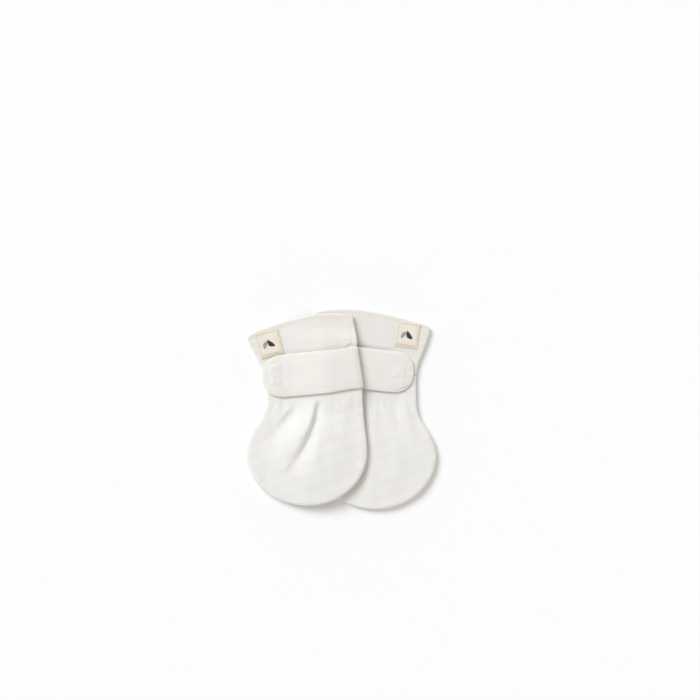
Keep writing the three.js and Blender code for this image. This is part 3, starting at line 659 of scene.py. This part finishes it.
def strap_panel(mitten, material):
    """A strap of two layers sewn and turned: it starts in the side seam, rolls over the side of the
    cuff and runs level to its round end."""
    name = mitten["name"] + "_strap"
    shape = mitten["strap"]
    half, corner = shape["half"], shape["corner"]
    _, along, length = strap_frame(mitten)
    gap, mid = 0.3, STRAP_WALL / 2
    turn, rise = STRAP_ROLL + gap + mid, STRAP_RISE + gap + mid
    degs = np.linspace(0, 90, 91)
    bend = points_of(turn * (1 - cos(degs)), rise * sin(degs))
    arc = joined([0], np.cumsum(np.hypot(*np.diff(bend, axis=0).T)))
    total = arc[-1] + length - mid - turn

    def outline(lo, hi, sign):
        deg = np.linspace(lo, hi, 60)
        return points_of(sign * half * np.maximum(cos(deg), 1e-6) ** 0.85,
                                -(total - corner + corner * sin(deg) ** 0.9))

    straight = lambda sign: points_of(np.full(40, sign * half), -np.linspace(0, total - corner, 40))[:-1]
    ts = near_edge(128, (0, 0.004, 0.009, 0.015))
    left = at_fractions(joined(straight(-1), outline(0, 45, -1)), ts)
    right = at_fractions(joined(straight(1), outline(0, 45, 1)), ts)
    foot = at_fractions(joined(outline(45, 90, -1)[:-1], outline(45, 90, 1)[::-1]), np.linspace(0, 1, 61))
    plan = u_panel(left, foot, right, STRAP_TURN, 1.5)
    seam, out = plan.seam, plan.out
    flat, height = [], []
    for e, h in STRAP_EDGE:
        flat.append(seam[:, :2] - e * out)
        height.append(np.full(len(seam), h))
    flat.append(plan.core)
    height.append(np.full(len(plan.core), 0.82))
    flat, height = np.concatenate(flat), np.concatenate(height)
    edge, run, _ = edge_distance(flat, seam[:, :2], closed=False)
    far = joined(np.repeat([e for e, h in STRAP_EDGE], len(seam)), edge[len(STRAP_EDGE) * len(seam):])
    w, sigma = flat[:, 0], -flat[:, 1]

    deg = np.interp(sigma, arc, degs)
    q = mid + np.where(sigma < arc[-1], turn * (1 - cos(deg)), turn + sigma - arc[-1])
    x, y, s = strap_plan(mitten, q, w)
    z = SEAM_Z + 0.15 + rise * sin(deg) - shape["droop"] * smooth((s - length + 7) / 7)

    core = far >= STRAP_TURN - 0.01
    crown = 1 - (1 - np.clip((far - 0.95) / 4.6, 0, 1)) ** 2
    top = height + core * (0.42 * crown + 0.04 * hump(far - 1.7, 0.8) - 0.05 * hump(far - 3.6, 1.2))
    top += core * smooth((far - 1) / 2) * 0.06 * unevenness(x * 1.3, y * 1.3, 0.9 if mitten is LEFT else 1.7)
    top += smooth((far - 0.3) / 0.8) * 0.05 * ripple(run, far, 0.2 if mitten is LEFT else 1.1)
    px, py, pw, ph = shape["patch"]
    turned = math.atan2(along[1], along[0])
    a = (x - px) * math.cos(turned) + (y - py) * math.sin(turned)
    b = -(x - px) * math.sin(turned) + (y - py) * math.cos(turned)
    past_a, past_b = np.abs(a) - pw / 2 + 1, np.abs(b) - ph / 2 + 1
    round_corner = np.hypot(np.maximum(past_a, 0), np.maximum(past_b, 0))
    box = np.where(np.maximum(past_a, past_b) > 0, round_corner, np.maximum(past_a, past_b)) - 1
    stitch = 0.55 + 0.45 * np.cos(2 * np.pi * (a + b) / 1.5) * np.cos(2 * np.pi * (a - b) / 1.5)
    top += core * (shape["print"] * smooth((0.8 - box) / 3.2)
            * (0.8 + 0.2 * np.sin(1.3 * a + 0.6) * np.sin(1.1 * b + 0.4))
                   - 0.07 * hump(box - 0.4, 0.6) * stitch)
    if shape["lip"]:
        reach = shape["lip"] * smooth((sigma - total + 13) / 7) * (1 - smooth((w / half + 0.95) / 0.45))
        inside = smooth((far - reach) / 0.8)
        top *= 1 - 0.45 * (1 - inside) * smooth(reach / 0.8)
    for x1, y1, x2, y2, ridge, high in shape["ridges"]:
        line = np.array([(x1, y1), (x2, y2)])
        off, _, _ = edge_distance(points_of(x, y), line, closed=False)
        top += core * high * hump(off, ridge)
    under = np.minimum(height, 0.78)
    thin = 0.35 + 0.65 * smooth(sigma / 2.4)
    tuck = (1 - thin) * 0.9
    nx, ny, nz = -cos(deg) * along[0], -cos(deg) * along[1], sin(deg)
    place = lambda h: points_of(x + nx * h, y + ny * h, z + nz * h)
    outer, inner = place(top * thin - tuck), place(-under * thin - tuck)
    lifted(mitten, outer, inner)
    uv = flat + np.where(core, 0, 1)[:, None] * joined(np.tile(out, (len(STRAP_EDGE), 1)),
            np.zeros((len(plan.core), 2))) \
        * np.maximum(0.9 - height, 0)[:, None]
    return shell(name + "_cloth", outer, inner, uv, u_quads(plan, len(STRAP_EDGE)), material)


def ground(piece):
    """Height of a piece's upper face over points in plan, all in mm."""
    mesh = piece.data
    tree = BVHTree.FromPolygons([v.co for v in mesh.vertices], [p.vertices for p in mesh.polygons])

    def height(x, y):
        out = []
        for px, py in zip(x, y):
            hit = tree.ray_cast(Vector((px * MM, py * MM, 0.05)), Vector((0, 0, -1)))[0]
            out.append(hit.z / MM)
        return np.array(out)
    return height


def label_place(mitten, a, b):
    x, y, _, _, turn = mitten["label"]
    return x + a * cos(turn) - b * sin(turn), y + a * sin(turn) + b * cos(turn)


def label_panel(mitten, cuff, material):
    """A woven tape label laid on the cuff front and sewn round."""
    _, _, wide, high, _ = mitten["label"]
    soft = np.array([0, 0.02, 0.07, 0.15, 0.28, 0.46, 0.7, 1.0])
    line = lambda size: joined(soft, np.arange(1.35, size - 1.2, 0.36), size - soft[::-1])
    us, vs = line(wide), line(high)
    a, b = (g.ravel() for g in np.meshgrid(us - wide / 2, vs - high / 2))
    x, y = label_place(mitten, a, b)
    z = ground(cuff)(x, y)
    far = np.minimum(wide / 2 - np.abs(a), high / 2 - np.abs(b))
    sewn = 0.07 * hump(far - 0.9, 0.45) * (0.6 + 0.4 * np.cos(2 * np.pi * (a + b) / 1.25))
    swell = 0.10 * smooth((far - 1.0) / 2.5) + 0.03 * np.sin(0.9 * a + 1) * np.sin(0.7 * b)
    outer = points_of(x, y, z + 0.12 + LABEL_WALL + swell - sewn)
    inner = points_of(x, y, z + 0.12)
    outer, inner = pinched(outer, inner, far, LABEL_WALL / 2)
    return shell(mitten["name"] + "_label_tape", outer, inner, points_of(a, b), grid_quads(len(vs), len(us)),
            material)


def thread_tubes(name, paths, radius, material):
    """Short stitches as one mesh: each path is a row of points in mm, thinner at its ends."""
    verts, faces, uvs = [], [], []
    ring = np.linspace(0, 2 * np.pi, 7)[:-1]
    for path in paths:
        path = np.asarray(path)
        step = np.gradient(path, axis=0)
        step /= np.linalg.norm(step, axis=1)[:, None]
        side = np.cross(step, (0, 0, 1.0))
        side /= np.linalg.norm(side, axis=1)[:, None]
        up = np.cross(side, step)
        base = len(verts)
        for i, p in enumerate(path):
            r = radius * (0.55 if i in (0, len(path) - 1) else 1)
            for k, t in enumerate(ring):
                verts.append(p + r * (math.cos(t) * side[i] + math.sin(t) * up[i]))
                uvs.append((k * radius, 0.35 * i))
        for i in range(len(path) - 1):
            for k in range(6):
                a, b = base + 6 * i + k, base + 6 * i + (k + 1) % 6
                faces.append((a, b, b + 6, a + 6))
        faces += [tuple(base + k for k in range(5, -1, -1)),
                tuple(base + 6 * (len(path) - 1) + k for k in range(6))]
    mesh = bpy.data.meshes.new(name)
    mesh.from_pydata((np.array(verts) * MM).tolist(), [], faces)
    return finished(mesh, np.array(uvs), material)


def label_stitching(mitten, label, material):
    """Straight stitches down the sides and over the top, zigzag along the lower edge."""
    _, _, wide, high, _ = mitten["label"]
    w, h = wide / 2 - 0.9, high / 2 - 0.9
    ends = []
    for side in (-1, 1):
        ends += [((side * w, b), (side * w, b + 0.95)) for b in np.arange(-h + 1.4, h - 0.9, 1.25)]
    ends += [((a, h), (a + 0.95, h)) for a in np.arange(-w, w - 0.8, 1.25)]
    low, up = -h - 0.35, -h + 1.0
    for i, a in enumerate(np.arange(-w - 0.2, w - 0.3, 0.58)):
        ends.append(((a, low if i % 2 else up), (a + 0.54, up if i % 2 else low)))
    height = ground(label)
    f = np.array([0, 0.12, 0.35, 0.65, 0.88, 1])
    lift = np.array([-0.05, 0.05, 0.1, 0.1, 0.05, -0.05])
    paths = []
    for p, q in ends:
        a, b = p[0] + f * (q[0] - p[0]), p[1] + f * (q[1] - p[1])
        x, y = label_place(mitten, a, b)
        paths.append(points_of(x, y, height(x, y) + lift))
    return thread_tubes(mitten["name"] + "_label_stitching", paths, 0.11, material)


def leaf(mitten, label, part, foot_a, foot_b, length, half, lean, material):
    """A plain woven leaf on the label, domed a little, with a groove for its midrib."""
    us, vs = np.linspace(0, 1, 29), np.linspace(-1, 1, 15)
    u, v = (g.ravel() for g in np.meshgrid(us, vs))
    out = half * np.sin(np.pi * u ** 0.85) ** 0.9 * v
    p, q = u * length, out + 0.12 * length * np.sin(np.pi * u)
    a = foot_a + p * cos(lean) - q * sin(lean)
    b = foot_b + p * sin(lean) + q * cos(lean)
    x, y = label_place(mitten, a, b)
    z = ground(label)(x, y)
    rise = 0.05 + 0.09 * (1 - v * v) - 0.07 * hump(v, 0.12) * smooth(4 * (1 - u))
    outer, inner = points_of(x, y, z + rise), points_of(x, y, z - 0.05)
    uv = points_of(p + np.abs(out) * 0.9, out)
    return shell(f"{mitten['name']}_label_leaf_{part}", outer, inner, uv, grid_quads(len(vs), len(us)),
            material)


# Materials. Cloth coordinates are the UVs, in mm of cloth.
def node_group(name, inputs, outputs):
    tree = bpy.data.node_groups.new(name, "ShaderNodeTree")
    for label, kind, value in inputs:
        socket = tree.interface.new_socket(name=label, in_out="INPUT", socket_type=kind)
        if value is not None:
            socket.default_value = value
    for label, kind in outputs:
        tree.interface.new_socket(name=label, in_out="OUTPUT", socket_type=kind)
    return tree, tree.nodes.new("NodeGroupInput").outputs, tree.nodes.new("NodeGroupOutput").inputs


def link(source, target):
    source.id_data.links.new(source, target)


def calc(operation, *values):
    tree = next(v for v in values if isinstance(v, bpy.types.NodeSocket)).id_data
    node = tree.nodes.new("ShaderNodeMath")
    node.operation = operation
    for socket, value in zip(node.inputs, values):
        if isinstance(value, bpy.types.NodeSocket):
            link(value, socket)
        else:
            socket.default_value = value
    return node.outputs[0]


def times(a, b):
    return calc("MULTIPLY", a, b)


def plus(a, b):
    return calc("ADD", a, b)


def minus(a, b):
    return calc("SUBTRACT", a, b)


def scaled(a, factor, offset):
    return calc("MULTIPLY_ADD", a, factor, offset)


def noise(tree, vector, scale, detail=2.0, rough=0.5):
    node = tree.nodes.new("ShaderNodeTexNoise")
    link(vector, node.inputs["Vector"])
    node.inputs["Scale"].default_value = scale
    node.inputs["Detail"].default_value = detail
    node.inputs["Roughness"].default_value = rough
    return node.outputs["Fac"]


def knit_group():
    """Fine interlock jersey: wales of V-shaped loops."""
    tree, inp, out = node_group("Interlock knit", [
        ("Cloth", "NodeSocketVector", None), ("Wale", "NodeSocketFloat", 0.8),
        ("Course", "NodeSocketFloat", 0.62), ("Wander", "NodeSocketFloat", 0.3)],
        [("Height", "NodeSocketFloat"), ("Painted gap shade", "NodeSocketFloat")])
    xyz = tree.nodes.new("ShaderNodeSeparateXYZ")
    link(inp["Cloth"], xyz.inputs[0])
    drift = times(minus(noise(tree, inp["Cloth"], 0.35), 0.5), inp["Wander"])
    small = times(minus(noise(tree, inp["Cloth"], 1.9, 1.0), 0.5), inp["Wander"])
    across = calc("DIVIDE", plus(xyz.outputs["X"], drift), inp["Wale"])
    down = calc("DIVIDE", plus(xyz.outputs["Y"], small), inp["Course"])
    wale = calc("ABSOLUTE", minus(calc("FRACT", across), 0.5))
    leg = calc("ABSOLUTE", minus(calc("FRACT", times(across, 2.0)), 0.5))
    phase = plus(down, times(wale, 1.5))
    loop = scaled(calc("SINE", times(phase, 2 * math.pi)), 0.5, 0.5)
    fall = times(times(leg, leg), scaled(wale, 3.0, 2.2))
    round_leg = calc("MAXIMUM", minus(1.0, fall), 0.0)
    height = times(round_leg, scaled(loop, 0.26, 0.74))
    link(height, out["Height"])
    # Painted shade: this factor makes the colour darker where the loops sink, in the gaps between them.
    link(minus(1.0, height), out["Painted gap shade"])
    return tree


def nap_group():
    """Soft fuzz and the slow unevenness of washed cotton."""
    tree, inp, out = node_group("Soft nap", [
        ("Cloth", "NodeSocketVector", None), ("Fuzz", "NodeSocketFloat", 4.0),
                ("Patch", "NodeSocketFloat", 0.12)],
        [("Height", "NodeSocketFloat"), ("Mottle", "NodeSocketFloat"), ("Crepe", "NodeSocketFloat")])
    for scale, detail, rough, label in (("Fuzz", 4.0, 0.7, "Height"), ("Patch", 3.0, 0.6, "Mottle")):
        node = tree.nodes.new("ShaderNodeTexNoise")
        link(inp["Cloth"], node.inputs["Vector"])
        link(inp[scale], node.inputs["Scale"])
        node.inputs["Detail"].default_value = detail
        node.inputs["Roughness"].default_value = rough
        link(node.outputs["Fac"], out[label])
    link(noise(tree, inp["Cloth"], 0.55, 3.0, 0.55), out["Crepe"])
    return tree


def twill_group():
    """Fine diagonal weave of a tape, with its picks."""
    tree, inp, out = node_group("Tape twill", [
        ("Cloth", "NodeSocketVector", None), ("Pitch", "NodeSocketFloat", 0.42)],
        [("Height", "NodeSocketFloat"), ("Shade", "NodeSocketFloat")])
    xyz = tree.nodes.new("ShaderNodeSeparateXYZ")
    link(inp["Cloth"], xyz.inputs[0])
    turns = calc("DIVIDE", plus(xyz.outputs["X"], times(xyz.outputs["Y"], 0.8)), inp["Pitch"])
    rib = scaled(calc("SINE", times(turns, 2 * math.pi)), 0.5, 0.5)
    picks = calc("DIVIDE", xyz.outputs["Y"], times(inp["Pitch"], 0.6))
    pick = scaled(calc("SINE", times(picks, 2 * math.pi)), 0.5, 0.5)
    height = plus(times(rib, 0.65), times(pick, 0.35))
    link(height, out["Height"])
    # Shade is half random tone and half painted shade: the tape is darker in the hollows of its weave.
    link(scaled(noise(tree, inp["Cloth"], 3.0, 3.0), 0.5, times(height, 0.5)), out["Shade"])
    return tree


def thread_group():
    """Twisted plies along a thread."""
    tree, inp, out = node_group("Thread twist", [
        ("Cloth", "NodeSocketVector", None), ("Twist", "NodeSocketFloat", 3.0)],
        [("Height", "NodeSocketFloat"), ("Shade", "NodeSocketFloat")])
    xyz = tree.nodes.new("ShaderNodeSeparateXYZ")
    link(inp["Cloth"], xyz.inputs[0])
    turns = times(plus(xyz.outputs["X"], xyz.outputs["Y"]), inp["Twist"])
    ply = scaled(calc("SINE", times(turns, 2 * math.pi)), 0.5, 0.5)
    link(ply, out["Height"])
    # Shade is half random tone and half painted shade: the thread is darker between its plies.
    link(scaled(noise(tree, inp["Cloth"], 6.0), 0.5, times(ply, 0.5)), out["Shade"])
    return tree


KNIT, NAP, TWILL, THREAD = knit_group(), nap_group(), twill_group(), thread_group()


def blank_material(name, rough, sheen, soft=0.0):
    material = bpy.data.materials.new(name)
    material.use_nodes = True
    tree = material.node_tree
    shader = tree.nodes["Principled BSDF"]
    for label, value in {"Roughness": rough, "Specular IOR Level": 0.25, "Sheen Weight": sheen,
                         "Sheen Roughness": 0.45, "Subsurface Weight": soft,
                         "Subsurface Radius": (1.0, 0.62, 0.36), "Subsurface Scale": 0.0014}.items():
        shader.inputs[label].default_value = value
    cloth = tree.nodes.new("ShaderNodeUVMap")
    cloth.uv_map = "cloth"
    return material, tree, shader, cloth.outputs["UV"]


def placed(tree, group, cloth, **values):
    node = tree.nodes.new("ShaderNodeGroup")
    node.node_tree = group
    link(cloth, node.inputs["Cloth"])
    for label, value in values.items():
        node.inputs[label].default_value = value
    return node.outputs


def mix_colour(tree, factor, a, b):
    node = tree.nodes.new("ShaderNodeMix")
    node.data_type = "RGBA"
    link(factor, node.inputs["Factor"])
    for socket, value in ((node.inputs[6], a), (node.inputs[7], b)):
        if isinstance(value, bpy.types.NodeSocket):
            link(value, socket)
        else:
            socket.default_value = (*value, 1)
    return node.outputs[2]


def bump(tree, shader, height, strength, depth, under=None):
    node = tree.nodes.new("ShaderNodeBump")
    node.inputs["Strength"].default_value = strength
    node.inputs["Distance"].default_value = depth * MM
    link(height, node.inputs["Height"])
    if under is not None:
        link(under, node.inputs["Normal"])
    if shader:
        link(node.outputs["Normal"], shader.inputs["Normal"])
    return node.outputs["Normal"]


KNIT_WALE, KNIT_COURSE = 0.8, 0.62     # width and height of a loop, in mm


def jersey(name, light, deep, warm, crepe):
    """Brushed cotton interlock: knit with painted shade in its gaps, nap, slow mottle, and a crepe of small hollows.
    """
    material, tree, shader, cloth = blank_material(name, 0.9, 0.2, 0.4)
    knit = placed(tree, KNIT, cloth, Wale=KNIT_WALE, Course=KNIT_COURSE)
    nap = placed(tree, NAP, cloth)
    # The gaps between the loops take the deep colour, as painted shade in the knit's hollows.
    base = mix_colour(tree, times(knit["Painted gap shade"], 0.5), light, deep)
    spread = times(minus(nap["Mottle"], 0.35), 0.55)
    link(mix_colour(tree, spread, base, warm), shader.inputs["Base Color"])
    link(scaled(nap["Height"], 0.2, 0.78), shader.inputs["Roughness"])
    slow = bump(tree, None, nap["Crepe"], 0.6, crepe)
    fine = plus(knit["Height"], times(nap["Height"], 0.6))
    bump(tree, shader, fine, 0.5, 0.11, under=slow)
    return material


def label_tape():
    material, tree, shader, cloth = blank_material("ecru woven tape", 0.72, 0.1)
    twill = placed(tree, TWILL, cloth)
    # Part of this mix is painted shade, which darkens the tape where its weave sinks.
    base = mix_colour(tree, twill["Shade"], (0.77, 0.69, 0.585), (0.88, 0.805, 0.70))
    xyz = tree.nodes.new("ShaderNodeSeparateXYZ")
    link(cloth, xyz.inputs[0])
    edge = calc("MAXIMUM", minus(calc("ABSOLUTE", xyz.outputs["X"]), 5.2),
                minus(calc("ABSOLUTE", xyz.outputs["Y"]), 5.9))
    hem = calc("SMOOTH_MIN", calc("MAXIMUM", times(edge, 1.2), 0.0), 0.45, 0.2)
    link(mix_colour(tree, hem, base, (0.81, 0.72, 0.595)), shader.inputs["Base Color"])
    bump(tree, shader, twill["Height"], 0.5, 0.06)
    return material


def thread_material(name, light, deep, sheen):
    material, tree, shader, cloth = blank_material(name, 0.55, sheen)
    twist = placed(tree, THREAD, cloth)
    # The deep colour falls between the plies as painted shade, and on random patches as tone.
    link(mix_colour(tree, twist["Shade"], deep, light), shader.inputs["Base Color"])
    bump(tree, shader, twist["Height"], 0.4, 0.05)
    return material


# Each jersey: colour of its loops, painted shade colour for the gaps between them, colour of its warmer patches, depth
# of its crepe.
BAND_COLOURS = (0.85, 0.82, 0.785), (0.67, 0.62, 0.56), (0.825, 0.785, 0.735)
POUCH_COLOURS = (0.865, 0.84, 0.81), (0.68, 0.635, 0.58), (0.84, 0.805, 0.76)
CUFF_JERSEY = jersey("ivory cuff jersey", *BAND_COLOURS, 0.24)
STRAP_JERSEY = jersey("ivory strap jersey", *BAND_COLOURS, 0.3)
POUCH_JERSEY = jersey("ivory pouch jersey", *POUCH_COLOURS, 0.22)
TAPE = label_tape()
STITCH_THREAD = thread_material("ecru stitch thread", (0.78, 0.66, 0.49), (0.62, 0.49, 0.34), 0.1)
CHARCOAL_THREAD = thread_material("charcoal thread", (0.055, 0.055, 0.06), (0.02, 0.02, 0.022), 0.05)
GREY_THREAD = thread_material("pale grey thread", (0.42, 0.41, 0.39), (0.27, 0.265, 0.25), 0.05)


def sewn(piece, mitten, part, held, rests_on, slot, with_pieces=()):
    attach(piece, "root")
    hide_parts(mitten["name"] + "_" + part)
    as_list(rests_on)
    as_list(with_pieces)
    return piece


def mitten_pieces(mitten):
    back = sewn(pouch_panel(mitten, False, POUCH_JERSEY), mitten, "pouch_back", "laid", [], "ivory_jersey")
    sewn(pouch_panel(mitten, True, POUCH_JERSEY), mitten, "pouch_front", "gathered", [back], "ivory_jersey")
    cuff_back = sewn(cuff_panel(mitten, False, CUFF_JERSEY), mitten, "cuff_back", "folded", [],
            "ivory_jersey")
    cuff = sewn(cuff_panel(mitten, True, CUFF_JERSEY), mitten, "cuff_front", "folded", [cuff_back],
            "ivory_jersey")
    sewn(strap_panel(mitten, STRAP_JERSEY), mitten, "strap", "folded", [cuff], "ivory_jersey")
    label = label_panel(mitten, cuff, TAPE)
    extras = [label_stitching(mitten, label, STITCH_THREAD),
              leaf(mitten, label, "dark", 2.9, -1.9, 5.6, 1.25, 128, CHARCOAL_THREAD),
              leaf(mitten, label, "pale", -3.3, -2.2, 5.2, 1.1, 52, GREY_THREAD)]
    for piece in extras:
        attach(piece, "root")
    sewn(label, mitten, "label", "laid", [cuff], "ecru_label", with_pieces=extras)


mitten_pieces(RIGHT)
mitten_pieces(LEFT)


def floor_material():
    material, tree, shader, _ = blank_material("pale floor", 0.8, 0.0)
    shader.inputs["Base Color"].default_value = (0.936, 0.929, 0.923, 1)
    return material


def studio():
    """Pale floor, a wide soft light from the upper left and even light all round."""
    floor = bpy.data.meshes.new("floor")
    floor.from_pydata([(-3, -3, 0), (3, -3, 0), (3, 3, 0), (-3, 3, 0)], [], [(0, 1, 2, 3)])
    floor.materials.append(floor_material())
    plane = bpy.data.objects.new("floor", floor)
    plane.location.z = -0.00002
    bpy.context.scene.collection.objects.link(plane)

    key = bpy.data.lights.new("key", "SUN")
    key.energy, key.angle, key.color = 2.02, math.radians(32), (0.925, 0.985, 1.055)
    lamp = bpy.data.objects.new("key", key)
    lamp.rotation_euler = Vector((0.48, -0.51, -0.71)).to_track_quat("-Z", "Y").to_euler()
    bpy.context.scene.collection.objects.link(lamp)

    world = bpy.data.worlds.new("studio")
    bpy.context.scene.world = world
    world.use_nodes = True
    tree = world.node_tree
    place = tree.nodes.new("ShaderNodeTexCoord")
    xyz = tree.nodes.new("ShaderNodeSeparateXYZ")
    link(place.outputs["Generated"], xyz.inputs[0])
    climb = tree.nodes.new("ShaderNodeMapRange")
    climb.interpolation_type = "SMOOTHSTEP"
    link(xyz.outputs["Z"], climb.inputs["Value"])
    for label, value in (("From Min", 0.08), ("From Max", 0.42), ("To Min", 0.97), ("To Max", 0.595)):
        climb.inputs[label].default_value = value
    sky = tree.nodes["Background"]
    sky.inputs["Color"].default_value = (1.0, 0.98, 0.94, 1)
    link(climb.outputs["Result"], sky.inputs["Strength"])
    bpy.context.scene.view_settings.view_transform = "Standard"

    lens = bpy.data.cameras.new("camera")
    lens.type, lens.lens, lens.sensor_width = "PERSP", 135, 36
    lens.clip_start, lens.clip_end = 0.05, 20
    camera = bpy.data.objects.new("camera", lens)
    camera.location = (0.0049, 0.0328, 1.455)
    bpy.context.scene.collection.objects.link(camera)
    bpy.context.scene.camera = camera


studio()
